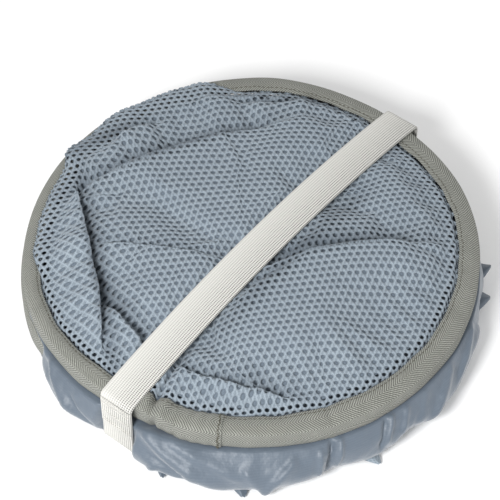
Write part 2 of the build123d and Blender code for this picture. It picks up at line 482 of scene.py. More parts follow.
def top_tape_shape(angle, share):
    """An uneven hoop, a gathered kink by the band, creases, and a slack skirt."""
    skirt = smoothstep(0.4, 1.0, share)
    inner = 1.0 - smoothstep(0.0, 0.4, share)
    kink = bump_at(angle - math.radians(1.6) * share, 244.0, 0.7)
    beside = bump_at(angle, 242.4, 1.5) + bump_at(angle, 247.0, 1.7)
    puckers = np.sin(angle * 118.0 + 3.0 * share) * sector(angle, 247.0, 261.0, 4.0)
    crease = bump_at(angle, 289.5, 1.0)
    dent = bump_at(angle, 262.0, 1.0)
    out = waves(angle, 3, (5, 9, 14, 23), 0.45) * skirt + waves(angle, 8, (7, 16, 31), 0.5) * inner
    out = out + 3.0 * bump_at(angle, 84.0, 16.0) - 1.6 * bump_at(angle, 42.0, 14.0)
    out = out + 2.6 * bump_at(angle, 196.0, 17.0) + 3.6 * bump_at(angle, 208.0, 26.0) * inner
    out = out + 1.5 * bump_at(angle, 300.0, 25.0) - 2.2 * bump_at(angle, 239.0, 12.0) * skirt
    up = waves(angle, 5, (4, 7, 13, 22), 0.4) + waves(angle, 6, (19, 33, 47), 0.22) * (skirt + inner)
    out = out - 3.2 * kink * skirt + 1.6 * beside * skirt + 0.9 * dent * skirt
    up = up - (2.3 + 2.4 * inner) * kink + 3.3 * beside - 0.9 * crease + 0.6 * dent + 0.4 * puckers
    out = out + waves(angle, 22, (3, 5, 9), 0.8) * skirt + 0.4 * puckers * skirt
    up = up + waves(angle, 21, (3, 5, 8), 0.8) * inner + 0.8
    return out, up


def hidden_tape_shape(angle, share):
    skirt = smoothstep(0.4, 1.0, share)
    return waves(angle, 15, (3, 6, 11), 0.15) * skirt, 0.0 * angle * share


def middle_tape_shape(angle, share):
    """The middle hoop slips outward at the left, where it shows beside the top one."""
    slip = sector(angle, 168.0, 200.0, 16.0)
    return 5.0 * slip + waves(angle, 12, (4, 9, 15), 0.2), 0.0 * angle * share


def thread_run(name, path, normal, thickness, sides=6):
    """Separate stitches, one at each pair of path points, arched over the cloth."""
    ends = np.array([0.0, 0.12, 0.5, 0.88, 1.0])
    girth = np.array([0.25, 0.85, 1.0, 0.85, 0.25]) * thickness / 2
    rise = np.array([-0.6, 0.25, 0.5, 0.25, -0.6]) * thickness
    turn = np.arange(sides) * TAU / sides
    parts = []
    for start, end, up in zip(path[0], path[1], normal):
        axis = (end - start) / np.linalg.norm(end - start)
        side = np.cross(axis, up)
        centre = start + (end - start) * ends[:, None] + up * rise[:, None]
        ring = np.cos(turn)[None, :, None] * side + np.sin(turn)[None, :, None] * up
        points = centre[:, None, :] + ring * girth[:, None, None]
        uv = np.zeros((points.shape[0] * sides, 2))
        parts.append((points.reshape(-1, 3), grid_quads(len(ends), sides, wrap_columns=True), uv))
    return new_piece(name, *join_parts(parts))


STITCH_PITCH = 3.1
STITCH_LENGTH = 2.3
THREAD = 0.55


def sewn_row(name, tape, inset, clear_of=()):
    """A row of stitches round a binding, inset from its inner edge."""
    count = int(TAU * (TAPE_INNER + inset) / STITCH_PITCH)
    rng = np.random.default_rng(count)
    centre = np.arange(count) * TAU / count + rng.normal(0, 0.0006, count)
    for degrees, half_width in clear_of:
        centre = centre[np.abs(angle_from(centre, math.radians(degrees))) > math.radians(half_width)]
    half = STITCH_LENGTH / 2 / (TAPE_INNER + inset)
    across = inset + 0.25 * rng.normal(0, 1, len(centre)).clip(-1, 1)
    start = tape.surface(centre - half, across, 0.05)
    end = tape.surface(centre + half, across, 0.05)
    up = np.zeros_like(start)
    up[:, 2] = tape.facing
    return thread_run(name, (start, end), up, THREAD)


def seam_across(name, tape, degrees, lift):
    """Lumpy stitches across a binding, where its end is sewn down."""
    rng = np.random.default_rng(5)
    across = np.linspace(0.8, tape.width - 0.6, 17)
    angle = math.radians(degrees) + rng.normal(0, 0.0022, len(across))
    lean = np.where(np.arange(len(across)) % 2 == 0, 0.004, -0.004)
    start = tape.surface(angle - lean, across - 0.5, lift)
    end = tape.surface(angle + lean, across + 0.9, lift)
    up = tape.surface(angle, across, lift + 1.0) - tape.surface(angle, across, lift)
    return thread_run(name, (start, end), up, 0.95)


# ---------------------------------------------------------------- cloth simulation

SIM_SCALE = 0.01  # a millimetre in the simulation, which runs at ten times life size


def sim_object(name, points, quads):
    mesh = bpy.data.meshes.new(name)
    mesh.from_pydata((np.asarray(points) * SIM_SCALE).tolist(), [], np.asarray(quads).tolist())
    made = bpy.data.objects.new(name, mesh)
    bpy.context.scene.collection.objects.link(made)
    return made


def settle_cloth(points, quads, pinned, obstacles, growth, frames, gravity, bending, puff):
    """Lets cloth that is cut larger than its place buckle and settle. Returns the moved points."""
    piece = sim_object("settling_cloth", points, quads)
    helpers = []
    for number, (helper_points, helper_quads) in enumerate(obstacles):
        helper = sim_object(f"obstacle_{number}", helper_points, helper_quads)
        helper.modifiers.new("collision", "COLLISION")
        helper.collision.thickness_outer = 0.004
        helpers.append(helper)
    group = piece.vertex_groups.new(name="pinned")
    group.add([int(i) for i in np.flatnonzero(pinned)], 1.0, "REPLACE")
    cloth = piece.modifiers.new("cloth", "CLOTH")
    settings = cloth.settings
    settings.quality = 5
    settings.mass = 0.2
    settings.vertex_group_mass = "pinned"
    settings.shrink_min = -growth
    settings.tension_stiffness = 12.0
    settings.compression_stiffness = 12.0
    settings.shear_stiffness = 4.0
    settings.bending_stiffness = bending
    settings.air_damping = 3.0
    settings.effector_weights.gravity = gravity
    settings.use_pressure = puff > 0
    settings.uniform_pressure_force = puff
    cloth.collision_settings.distance_min = 0.004
    cloth.point_cache.frame_start = 1
    cloth.point_cache.frame_end = frames
    for frame_number in range(1, frames + 1):
        bpy.context.scene.frame_set(frame_number)
    settled = piece.evaluated_get(bpy.context.evaluated_depsgraph_get()).data
    moved = np.empty(len(points) * 3, np.float32)
    settled.vertices.foreach_get("co", moved)
    for made in [piece, *helpers]:
        bpy.data.objects.remove(made)
    bpy.context.scene.frame_set(1)
    return moved.reshape(-1, 3).astype(float) / SIM_SCALE


# ---------------------------------------------------------------- crown of hole mesh


SLACK = 0.90  # plan size over flat size, before the folds take the slack up
INNER_PLAN = 128.0  # inside this plan radius the crown is a dome; outside it turns to the rim

# Each fold: centre x and y, heading in degrees (the upper layer lies to its left), half length,
# bow, how far the layers overlap, how high the upper layer stands, how sharply it turns, reach.
FOLDS = {
    "long_overlap": (-53, 68, 203.7, 84, 4, 9.0, 16.0, 2.8, 30),
    "upper_pleat": (-94, 88, 209, 36, 0, 5.5, 11.0, 2.2, 16),
    "left_flap": (-107, -23, 100.2, 100, 0, 7.0, 14.0, 2.3, 19),
    "left_gap": (-84, -66, 126, 44, -2, 3.6, 9.0, 1.9, 13),
    "bottom_flap": (-12, -119, 162, 50, -8, 3.4, 8.5, 2.0, 11),
    "right_ridge": (55, -17, 191.7, 66, 2, 6.5, 14.0, 2.8, 28),
    "thin_crease": (-64, -16, 171.5, 52, -2, 2.8, 4.5, 1.6, 15),
    "pinch": (11, -42, 209, 26, 0, 3.0, 5.0, 1.7, 13),
    "low_crease": (8, -119, 150, 24, 0, 2.5, 4.0, 1.8, 12),
    "back_swell": (30, 120, 182, 52, -8, 3.0, 7.0, 3.0, 15),
}


def fold_shift(x, y, fold):
    """How a fold moves the cloth near it, sideways over itself and up, and where its valley is."""
    cx, cy, heading, half, bow, overlap, lift, turn, reach = fold
    c, s = math.cos(math.radians(heading)), math.sin(math.radians(heading))
    u = (x - cx) * c + (y - cy) * s
    v = -(x - cx) * s + (y - cy) * c - bow * (u / half) ** 2
    taper = 1.0 - smoothstep(0.05 * half, 1.35 * half, np.abs(u))
    near = np.exp(-((v / reach) ** 2)) * taper
    over = np.tanh(v / turn)
    aside = -overlap * over * near
    step = 0.5 * (1.0 + np.tanh(v / (0.8 * turn)))
    valley = np.exp(-(((v + 2.4 * turn) / (3.4 * turn)) ** 2))
    up = lift * (0.62 * step - 0.5 * valley * (1 - step)) * near
    return -s * aside, c * aside, up, valley * (1 - step) * near * min(1.0, lift / 12.0)


def crown_overhang(angle):
    """1 where the crown flops out over the tape, 0 where it tucks in under it."""
    return np.maximum(sector(angle, 106.0, 146.0, 15.0), 0.6 * sector(angle, 140.0, 182.0, 13.0))


def rim_profiles():
    """How the crown runs from its dome to its sewn edge: tucked under, and flopped over the tape."""
    tucked = rounded_line(
        [(INNER_PLAN, TOP + 2.0), (136.2, TOP - 0.4), (135.8, TOP - 2.2), (140.5, TOP - 2.4)],
        [3.0, 0.8],
    )
    flopped = rounded_line(
        [
            (INNER_PLAN, TOP + 7.5),
            (144.0, TOP + 5.6),
            (147.5, TOP + 2.6),
            (145.5, TOP + 0.9),
            (135.6, TOP + 0.6),
            (135.4, TOP - 2.2),
            (140.5, TOP - 2.4),
        ],
        [14.0, 2.6, 1.0, 0.6, 0.8],
    )
    return tucked, flopped


TUCKED, FLOPPED = rim_profiles()
TUCKED_LENGTH = lengths_along(TUCKED)[-1]
FLOPPED_LENGTH = lengths_along(FLOPPED)[-1]
FLAT_INNER = INNER_PLAN / SLACK


def crown_flat_edge(angle):
    """The flat panel's radius, larger where it flops over the tape."""
    overhang = crown_overhang(angle)
    return FLAT_INNER + TUCKED_LENGTH + (FLOPPED_LENGTH - TUCKED_LENGTH) * overhang


def along_rim(distance, angle):
    """Radius and height at a distance from the dome's edge towards the sewn edge."""
    overhang = crown_overhang(angle)
    share = distance / (crown_flat_edge(angle) - FLAT_INNER)
    made = []
    for k in (0, 1):
        ends = []
        for line, length in ((TUCKED, TUCKED_LENGTH), (FLOPPED, FLOPPED_LENGTH)):
            ends.append(np.interp(share * length, lengths_along(line), line[:, k]))
        made.append(ends[0] + (ends[1] - ends[0]) * overhang)
    return made


def base_crown(p, q):
    """Where a point of the flat panel lies on the slack crown, before its folds."""
    flat_radius = np.hypot(p, q)
    angle = np.arctan2(q, p)
    in_dome = np.minimum(flat_radius, FLAT_INNER)
    rim_radius, rim_height = along_rim(np.maximum(flat_radius - FLAT_INNER, 0.0), angle)
    outside = flat_radius > FLAT_INNER
    radius = np.where(outside, rim_radius, in_dome * SLACK)
    share = in_dome * SLACK / INNER_PLAN
    rim_out, rim_up = top_tape_shape(angle, 0.0 * angle)
    lumps = 3.4 * bump_at(angle, 149.0, 7.0) + 2.4 * bump_at(angle, 131.0, 6.0)
    lumps = lumps - 2.0 * bump_at(angle, 140.0, 5.0)
    rim_out = rim_out + lumps * np.clip(crown_overhang(angle), 0.0, 1.0)
    follow = smoothstep(0.7, 1.0, share)
    radius = radius + rim_out * follow
    edge_height = 2.0 + 5.5 * crown_overhang(angle) + 3.0 * sector(angle, 55.0, 100.0, 14.0)
    dome = CROWN_RISE * (1 - share**2) + edge_height * share**4
    height = np.where(outside, rim_height, TOP + dome) + rim_up * follow
    x, y = radius * np.cos(angle), radius * np.sin(angle)
    slant = along_band(x, y)[1]
    puff = 2.6 * (1 - np.exp(-((slant / 26.0) ** 2))) * (1 - share**4)
    ripple = 0.8 * np.sin(x / 17.0 + 1.3 * np.sin(y / 23.0)) + 0.7 * np.sin(y / 13.0 + x / 31.0)
    height = height + puff + np.where(outside, 0.0, ripple * (1 - share**6))
    return np.stack([x, y, height], axis=-1)


def add_folds(points, flat_radius):
    """Lays the crown's slack over itself in its folds."""
    x, y = points[..., 0], points[..., 1]
    calm = 1.0 - smoothstep(FLAT_INNER - 9.0, FLAT_INNER + 3.0, flat_radius)
    moves = [fold_shift(x, y, fold)[:3] for fold in [*FOLDS.values(), *small_folds()]]
    folded = points + np.moveaxis(np.sum(moves, axis=0) * calm, 0, -1)
    folded[..., 2] = soft_ceiling(folded[..., 2], TOP + CROWN_RISE + 7.0, 5.0)
    return keep_under_band(folded)


def soft_ceiling(height, limit, soft):
    """Heights that level off below a limit."""
    over = np.maximum(height - (limit - soft), 0.0)
    return height - over + soft * (1 - np.exp(-over / soft))


def keep_under_band(points):
    """Presses the crown down to the band's underside where the band crosses it."""
    along, aside = along_band(points[..., 0], points[..., 1])
    under = 1.0 - smoothstep(BAND_WIDTH / 2 + 0.8, BAND_WIDTH / 2 + 5.0, np.abs(aside))
    limit = band_height(along) - BAND_THICKNESS / 2 - 0.4
    pressed = points.copy()
    pressed[..., 2] -= np.maximum(points[..., 2] - limit, 0.0) * under * (np.abs(along) < BAND_REACH)
    return pressed


def valley_depth(x, y):
    """How deep in a valley of the folds, or in the dip beside the band, a place lies, from 0 to 1. It
    lowers the backing and sets the crown's painted shade.
    """
    hollow = sum(fold_shift(x, y, fold)[3] for fold in FOLDS.values())
    along, aside = along_band(x, y)
    beside = np.exp(-(((aside + 21.0) / 7.0) ** 2)) * (1.0 - smoothstep(50.0, 100.0, np.abs(along)))
    return np.clip(hollow + 0.5 * beside, 0.0, 1.0)


def mark_painted_valley_shade(piece):
    """Stores how deep in a valley each point of the crown lies, for the painted shade in its material."""
    places = np.empty(len(piece.data.vertices) * 3, np.float32)
    piece.data.vertices.foreach_get("co", places)
    x, y, _ = places.reshape(-1, 3).T / MM
    marks = piece.data.attributes.new("depth", "FLOAT", "POINT")
    marks.data.foreach_set("value", valley_depth(x, y).astype(np.float32))


def small_folds():
    """Minor creases where the slack mesh bunches."""
    rng = np.random.default_rng(17)
    for _ in range(16):
        reach, turn = rng.uniform(30, 112), rng.uniform(0, TAU)
        heading = math.degrees(turn) + rng.uniform(-50, 50)
        size = rng.uniform(0.7, 1.7)
        yield (
            reach * math.cos(turn), reach * math.sin(turn), heading, rng.uniform(12, 28),
            rng.uniform(-3, 3), size, 0.9 * size, 1.7, 12,
        )


def normals_of(place, p, q, step=0.4):
    """Upward unit normals of a mapped panel."""
    along = place(p + step, q) - place(p - step, q)
    across = place(p, q + step) - place(p, q - step)
    normal = np.cross(along, across)
    return normal / np.maximum(np.linalg.norm(normal, axis=-1, keepdims=True), 1e-9)


HOLE_RADIUS = 1.6
HOLE_SIDES = 12
HOLE_DEPTH = 0.8


def hole_cells(edge_of, turn_degrees):
    """Centres of the staggered holes that fit inside a flat panel."""
    reach = 200.0
    rows = int(reach / HOLE_ROW)
    r, c = np.meshgrid(np.arange(-rows, rows + 1), np.arange(-rows, rows + 1), indexing="ij")
    a = (c + 0.5 * (r % 2)) * HOLE_PITCH
    b = r * HOLE_ROW
    t = math.radians(turn_degrees)
    p, q = a * math.cos(t) - b * math.sin(t), a * math.sin(t) + b * math.cos(t)
    inside = np.hypot(p, q) < edge_of(np.arctan2(q, p)) - HOLE_PITCH * 0.6
    return np.stack([p[inside], q[inside]], axis=1), t


def perforated(place, edge_of, turn_degrees, side_count=HOLE_SIDES):
    """Points, quads and cloth coordinates of a panel knitted with round holes."""
    centres, turn = hole_cells(edge_of, turn_degrees)
    sides = np.arange(side_count) * TAU / side_count
    hexagon = HOLE_PITCH / 2 / np.cos((sides + math.pi / 6) % (math.pi / 3) - math.pi / 6)
    rings = [(HOLE_RADIUS * 0.93, -HOLE_DEPTH), (HOLE_RADIUS, -0.4), (None, 0.0)]
    flat = []
    for radius, _ in rings:
        reach = hexagon if radius is None else radius * (1 + 0.04 * np.cos(2 * sides))
        ring = np.stack([reach * np.cos(sides + turn), reach * np.sin(sides + turn)], axis=1)
        flat.append(centres[:, None, :] + ring[None, :, :])
    flat = np.stack(flat, axis=1)
    p, q = flat[..., 0], flat[..., 1]
    depth = np.array([d for _, d in rings])[None, :, None, None]
    points = place(p, q) + normals_of(place, p, q) * depth
    one_cell = grid_quads(len(rings), side_count, wrap_columns=True)[:, ::-1]
    starts = np.arange(len(centres)) * len(rings) * side_count
    quads = (starts[:, None, None] + one_cell[None]).reshape(-1, 4)
    c, s = math.cos(turn), math.sin(turn)
    return points, quads, pairs(p * c + q * s, q * c - p * s)


def weld(piece, distance_mm=0.02):
    """Joins the edges that neighbouring cells share."""
    mesh = bmesh.new()
    mesh.from_mesh(piece.data)
    bmesh.ops.remove_doubles(mesh, verts=mesh.verts, dist=distance_mm * MM)
    mesh.to_mesh(piece.data)
    mesh.free()
    return piece


def disc_grid(edge_of, rings, spokes):
    """A flat panel's points on rings out to its edge."""
    angle = np.linspace(0, TAU, spokes, endpoint=False)
    share = np.linspace(0.004, 1.0, rings)
    radius = share[:, None] * edge_of(angle)[None, :]
    return radius * np.cos(angle)[None, :], radius * np.sin(angle)[None, :]


SETTLE_STEP = 2.4
SETTLE_REACH = 151.2
CROWN_SETTLING = {"growth": 0.03, "frames": 16, "gravity": 0.1, "bending": 0.6, "puff": 0.5}


def band_underside():
    """The pressing face of the band, as an obstacle."""
    line = band_path()
    line = line[(np.abs(line[:, 0]) < 146) & (line[:, 1] > TOP - 3)]
    side = np.linspace(-BAND_WIDTH / 2, BAND_WIDTH / 2, 9)
    points = on_band(line[:, None, 0], side[None, :], line[:, None, 1] - BAND_THICKNESS / 2)
    return points.reshape(-1, 3), grid_quads(len(line), len(side))


def packed_cloth_below():
    """The bundle that the crown rests on, as an obstacle."""
    rings, spokes = 40, 120
    p, q = disc_grid(lambda angle: FLAT_INNER * 0.97 + 0.0 * angle, rings, spokes)
    share = np.hypot(p, q) / FLAT_INNER
    height = TOP - 5.0 + CROWN_RISE * (1 - share**2)
    points = np.stack([p * SLACK, q * SLACK, height], axis=-1)
    return points.reshape(-1, 3), grid_quads(rings, spokes, wrap_columns=True)


def settled_crown():
    """How far each point of the crown moves when its slack cloth buckles under the band."""
    line = np.arange(-SETTLE_REACH, SETTLE_REACH + 0.1, SETTLE_STEP)
    p, q = np.meshgrid(line, line, indexing="ij")
    inside = np.hypot(p, q) < FLAT_INNER + 8.0
    start = base_crown(p, q)
    index = np.full(p.shape, -1)
    index[inside] = np.arange(inside.sum())
    quads = grid_quads(len(line), len(line))
    quads = index.ravel()[quads]
    quads = quads[(quads >= 0).all(axis=1)]
    pinned = np.hypot(p, q)[inside] > FLAT_INNER - 1.5
    obstacles = [band_underside(), packed_cloth_below()]
    settled = settle_cloth(start[inside], quads, pinned, obstacles, **CROWN_SETTLING)
    moved = np.zeros(start.shape)
    moved[inside] = settled - start[inside]
    return line, moved


CROWN_MOVES = []


def crown_place(p, q):
    """Where a point of the flat panel lies on the settled crown."""
    if not CROWN_MOVES:
        CROWN_MOVES.extend(settled_crown())
    line, moved = CROWN_MOVES
    a = np.clip((p - line[0]) / SETTLE_STEP, 0, len(line) - 1.001)
    b = np.clip((q - line[0]) / SETTLE_STEP, 0, len(line) - 1.001)
    i, j = a.astype(int), b.astype(int)
    a, b = (a - i)[..., None], (b - j)[..., None]
    low = moved[i, j] * (1 - a) + moved[i + 1, j] * a
    high = moved[i, j + 1] * (1 - a) + moved[i + 1, j + 1] * a
    settled = base_crown(p, q) + low * (1 - b) + high * b
    return add_folds(settled, np.hypot(p, q))


BACKING_MARGIN = 3.0
BACKING_DROP = 1.5  # below the mesh
VALLEY_DROP = 3.4  # and this much lower where a valley is deepest


def crown_pieces():
    points, quads, uv = perforated(crown_place, crown_flat_edge, 8.0)
    crown = weld(new_piece("crown_mesh_panel", points, quads, uv))
    mark_painted_valley_shade(crown)
    rings, spokes = 120, 360
    p, q = disc_grid(lambda angle: FLAT_INNER + BACKING_MARGIN + 0.0 * angle, rings, spokes)
    under = crown_place(p, q)
    under[..., 2] -= BACKING_DROP + VALLEY_DROP * valley_depth(under[..., 0], under[..., 1])
    quads = grid_quads(rings, spokes, wrap_columns=True)
    backing = new_piece("crown_mesh_backing", under, quads, pairs(p, q))
    return crown, backing


# ---------------------------------------------------------------- taffeta walls


SLEEVE = HOOP_RADIUS + 0.4  # where a wall lies against the hoops
PLEAT_INNER = HOOP_RADIUS - 26.0
PLEAT_OUTER = HOOP_RADIUS - 14.5
WALL_STEPS = 760
HIDDEN_ROWS = 44
OUTER_ROWS = 34
WALL_SETTLING = {"growth": 0.028, "frames": 20, "gravity": 0.15, "bending": 4.0, "puff": 1.6}


def hidden_pleats(sewn_height, slit_height, pleat_count=4):
    """Down the slack that is packed inside the hoops, to where it passes out between them."""
    heights = np.linspace(sewn_height, slit_height + 1.6, 2 * pleat_count + 1)
    line = [(PLEAT_OUTER + 1.5, sewn_height)]
    for i, height in enumerate(heights[1:]):
        line.append((PLEAT_INNER if i % 2 == 0 else PLEAT_OUTER, height))
    line += [(PLEAT_OUTER + 2.0, slit_height), (SLEEVE, slit_height)]
    return resample(np.array(line, float), HIDDEN_ROWS)


def soft_loop(corners, count):
    """A smooth line near its corner points."""
    line = resample(np.array(corners, float), 5 * count)
    kernel = np.hanning(2 * count + 1)
    kernel /= kernel.sum()
    ends = [np.repeat(line[:1], count, axis=0), line, np.repeat(line[-1:], count, axis=0)]
    padded = np.concatenate(ends)
    smooth = np.stack([np.convolve(padded[:, k], kernel, mode="valid") for k in (0, 1)], axis=1)
    return resample(smooth, count)


def upper_outline(bulge, sag):
    """The upper wall outside the hoops: out, over, down past the middle hoop, and back up to it."""
    slit, sewn = TOP_LOW[2] - 0.2, MIDDLE_LOW[2] + 0.6
    lowest = sewn - sag
    corners = [
        (SLEEVE, slit),
        (SLEEVE + 0.55 * bulge, slit + 0.4),
        (SLEEVE + 1.05 * bulge, slit - 6.0),
        (SLEEVE + 1.25 * bulge, (slit + lowest) / 2),
        (SLEEVE + 1.05 * bulge, lowest + 1.0),
        (SLEEVE + 0.45 * bulge, lowest - 1.0),
        (SLEEVE + 0.5, (lowest + sewn) / 2),
        (SLEEVE, sewn),
    ]
    return soft_loop(corners, OUTER_ROWS)


def lower_outline(bulge, sag):
    """The lower wall outside the hoops: flat under the upper one's sag, then out over the ground."""
    slit, sewn = MIDDLE_LOW[2] - 0.2, 0.9
    shoulder = max(slit - sag, 3.0)
    corners = [
        (SLEEVE, slit),
        (SLEEVE + 0.2 + 0.25 * bulge, shoulder),
        (SLEEVE + 1.1 * bulge, shoulder - 1.5),
        (SLEEVE + 1.2 * bulge, 1.6),
        (SLEEVE + 0.6 * bulge, 0.6),
        (SLEEVE - 0.2, sewn),
    ]
    return soft_loop(corners, OUTER_ROWS)


def round_the_hoop(angle, values):
    """Smooth values round the hoop from a few (degrees, value) pairs."""
    degrees = [d for d, _ in values]
    heights = [v for _, v in values]
    fine = np.linspace(0, 360, 721)
    rough = np.interp(fine, degrees, heights, period=360.0)
    kernel = np.hanning(25)
    kernel /= kernel.sum()
    smooth = np.convolve(np.concatenate([rough[-13:-1], rough, rough[1:13]]), kernel, mode="valid")
    return np.interp(np.degrees(angle) % 360.0, fine, smooth)


UPPER_BULGE = [
    (0, 6.0), (15, 5.0), (38, 3.5), (70, 5.0), (110, 4.0), (150, 1.0), (190, 2.0), (204, 7.0), (216, 9.0),
    (225, 10.0), (231, 7.0), (237, 6.0), (243, 12.0), (249, 14.5), (258, 13.5), (266, 14.5), (276, 13.5),
    (288, 11.5), (300, 12.0), (316, 11.0), (332, 9.0), (348, 6.0),
]
UPPER_SAG = [
    (0, 3), (60, 2), (150, 0), (200, 4), (210, 13), (240, 15), (290, 15), (306, 12), (326, 5), (345, 3),
]
LOWER_BULGE = [
    (0, 6.0), (40, 4.0), (90, 5.0), (150, 1.5), (200, 1.5), (230, 1.0), (262, 2.0), (290, 3.0), (308, 8.0),
    (330, 9.5), (346, 7.0),
]


def press_under_band(points):
    """Keeps the cloth behind the band where the band crosses it."""
    along, aside = along_band(points[..., 0], points[..., 1])
    under = 1.0 - smoothstep(BAND_WIDTH / 2 + 0.6, BAND_WIDTH / 2 + 5.0, np.abs(aside))
    limit = BAND_REACH - BAND_THICKNESS / 2 - 0.5
    excess = np.maximum(np.abs(along) - limit, 0.0) * under * np.sign(along)
    pressed = points.copy()
    pressed[..., 0] -= excess * math.cos(BAND_ANGLE)
    pressed[..., 1] -= excess * math.sin(BAND_ANGLE)
    return pressed


def hoop_drum():
    """The stack of hoops and the ground, as the simulation's obstacles."""
    angle = np.linspace(0, TAU, 181)
    heights = np.array([-3.0, TOP_LOW[2] - 1.0])
    radius = HOOP_RADIUS + 0.0 * angle
    drum = np.concatenate([polar(radius, angle, h + 0.0 * angle) for h in heights])
    ground = np.array([(-300, -300, 0), (300, -300, 0), (300, 300, 0), (-300, 300, 0)], float)
    return [(drum, grid_quads(2, len(angle))), (ground, np.array([[0, 1, 2, 3]]))]


def broad_folds(moves, most=44):
    """Only the broad part of how a wall moves, because taffeta is too stiff to pucker finely."""
    waves_round = np.fft.rfft(moves, axis=0)
    keep = np.exp(-((np.arange(len(waves_round)) / most) ** 2))
    return np.fft.irfft(waves_round * keep[:, None, None], n=len(moves), axis=0)


def wall_tier(name, outline, hidden, bulges, sags, seed, creases, obstacles):
    """One tier of wall: pleats packed inside the hoops, and the simulated slack outside them."""
    angle = np.linspace(0, TAU, WALL_STEPS, endpoint=False)
    bulge = round_the_hoop(angle, bulges) + waves(angle, seed, (7, 11, 18), 1.0)
    sag = round_the_hoop(angle, sags) + waves(angle, seed + 1, (8, 13, 19), 0.8)
    outer = np.stack([outline(max(b, 0.4), max(g, 0.0)) for b, g in zip(bulge, sag)])
    points = polar(outer[..., 0], angle[:, None] + 0 * outer[..., 0], outer[..., 1])
    pinned = np.zeros(points.shape[:2], bool)
    pinned[:, :2] = True
    pinned[:, -2:] = True
    face = grid_quads(WALL_STEPS, OUTER_ROWS, wrap_rows=True)[:, ::-1]
    settled = settle_cloth(points.reshape(-1, 3), face, pinned.ravel(), obstacles, **WALL_SETTLING)
    points = points + broad_folds(settled.reshape(points.shape) - points)
    points = add_creases(points, angle, [*creases, *gathers(seed)])
    points = press_under_band(points)
    points[..., 2] = np.maximum(points[..., 2], 0.25)
    flutter = 1.0 + 0.012 * waves(angle, seed + 2, (17, 29, 41), 1.0)
    calm = smoothstep(HIDDEN_ROWS - 8, HIDDEN_ROWS - 2, np.arange(HIDDEN_ROWS))[None, :]
    uneven = flutter[:, None] * (1 - calm) + calm
    around = angle[:, None] + 0 * uneven
    inner = polar(hidden[None, :, 0] * uneven, around, hidden[None, :, 1] + 0 * uneven)
    sheet = np.concatenate([inner[:, :-1], points], axis=1)
    down_inside = lengths_along(hidden)
    across = np.concatenate([down_inside[:-1], down_inside[-1] + lengths_along(outer[0])])
    uv = pairs(angle[:, None] * HOOP_RADIUS, across[None, :])
    quads = grid_quads(WALL_STEPS, sheet.shape[1], wrap_rows=True)[:, ::-1]
    return new_piece(name, sheet, quads, uv), (points.reshape(-1, 3), face)


# Each crease: start and end as (degrees, share of the way down), height, width in mm, and how much
# sharper its far side is.
UPPER_CREASES = [
    ((243.0, 0.02), (263.0, 0.56), 5.2, 2.6, 3.0),
    ((246.5, 0.26), (262.0, 0.50), -3.0, 3.2, 1.0),
    ((250.0, 0.02), (268.0, 0.34), 2.6, 2.0, 2.4),
    ((289.0, 0.02), (286.5, 0.50), -4.4, 1.8, 1.0),
    ((291.2, 0.02), (289.0, 0.42), 2.4, 1.3, 1.0),
    ((286.0, 0.10), (284.2, 0.45), 2.2, 1.4, 1.0),
    ((303.0, 0.04), (300.0, 0.40), -2.4, 1.4, 1.0),
    ((305.0, 0.02), (301.5, 0.34), 2.4, 1.2, 1.6),
    ((309.5, 0.04), (306.0, 0.36), 1.8, 1.4, 1.6),
    ((268.0, 0.20), (273.5, 0.58), 2.4, 2.0, 2.2),
    ((279.5, 0.14), (271.5, 0.52), 2.6, 1.8, 2.2),
    ((248.0, 0.40), (245.0, 0.62), 1.8, 1.6, 1.6),
    ((196.0, 0.06), (212.0, 0.42), 2.4, 2.2, 2.6),
    ((212.0, 0.04), (224.0, 0.46), 2.8, 2.2, 2.4),
    ((222.0, 0.20), (229.0, 0.52), -2.2, 2.0, 1.0),
    ((326.0, 0.08), (314.0, 0.50), 2.6, 2.2, 2.2),
    ((339.0, 0.06), (326.0, 0.45), 2.4, 2.0, 2.2),
]


def gathers(seed, count=34):
    """Small creases that run down from where a wall's gathered cloth leaves its hoop."""
    rng = np.random.default_rng(seed)
    for _ in range(count):
        at, top = rng.uniform(0, 360), rng.uniform(0.0, 0.35)
        lean, size = rng.normal(0, 9.0), rng.uniform(0.3, 1.0) * rng.choice([-1, 1])
        end = (at + lean, top + rng.uniform(0.18, 0.45))
        yield (at, top), end, size, rng.uniform(1.6, 3.2), rng.uniform(1, 2.4)


WALL_DOWN = 48.0  # the length that creases take for a wall's whole way down


def add_creases(points, angle, creases):
    """Presses sharp folds into a wall's outer face."""
    normal = np.cross(np.roll(points, -1, 0) - np.roll(points, 1, 0), np.gradient(points, axis=1))
    normal /= np.maximum(np.linalg.norm(normal, axis=-1, keepdims=True), 1e-9)
    outward = np.sign(np.sum(normal * polar(1.0, angle, 0 * angle)[:, None, :], axis=-1).mean())
    depth = np.linspace(0, 1, points.shape[1])[None, :] * np.ones_like(angle)[:, None]
    for (a0, t0), (a1, t1), height, width, sharper in creases:
        u = angle_from(angle, math.radians(a0))[:, None] * HOOP_RADIUS + 0 * depth
        v = (depth - t0) * WALL_DOWN
        run = np.array([math.radians(a1 - a0) * HOOP_RADIUS, (t1 - t0) * WALL_DOWN])
        size = np.linalg.norm(run)
        run /= size
        forward = (u * run[0] + v * run[1]) / size
        away = -u * run[1] + v * run[0]
        spread = np.where(away > 0, width, width * sharper)
        hill = np.exp(-((away / spread) ** 2)) * smoothstep(-0.12, 0.12, forward)
        hill *= 1.0 - smoothstep(0.8, 1.15, forward)
        points = points + (outward * height * hill)[..., None] * normal
    return points


# ---------------------------------------------------------------- elastic band


BAND_CORNERS = [4.0, 3.4]  # its rounding under the base and over the hoop


